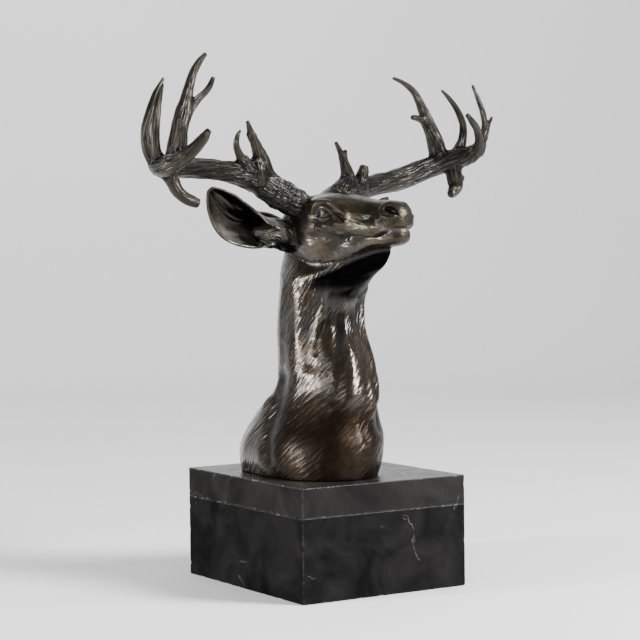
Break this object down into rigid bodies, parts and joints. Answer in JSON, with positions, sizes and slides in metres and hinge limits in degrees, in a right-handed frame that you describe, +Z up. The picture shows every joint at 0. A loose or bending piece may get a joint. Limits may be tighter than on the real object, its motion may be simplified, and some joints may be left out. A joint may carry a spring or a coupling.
{
  "type": "stag bust sculpture",
  "caption": "Bronze bust of a stag with its head turned and wide many-pointed antlers, on a rectangular two-layer black marble plinth.",
  "frame": {"origin": "middle of the plinth's underside, on the surface that it stands on", "axes": "+Z up, -Y out of the plinth's narrow front face below the muzzle, +X to the stag's left"},
  "size_m": [0.4274, 0.2155, 0.4744],
  "materials": {
    "plinth_block": "honed black marble, opaque",
    "plinth_slab": "half-polished black marble, opaque",
    "bronze_stag": "dark brown patinated bronze, satin"
  },
  "bodies": {
    "root": {"plinth_block": "plinth_block", "plinth_slab": "plinth_slab", "bronze_stag": "bronze_stag"}
  },
  "joints": []
}
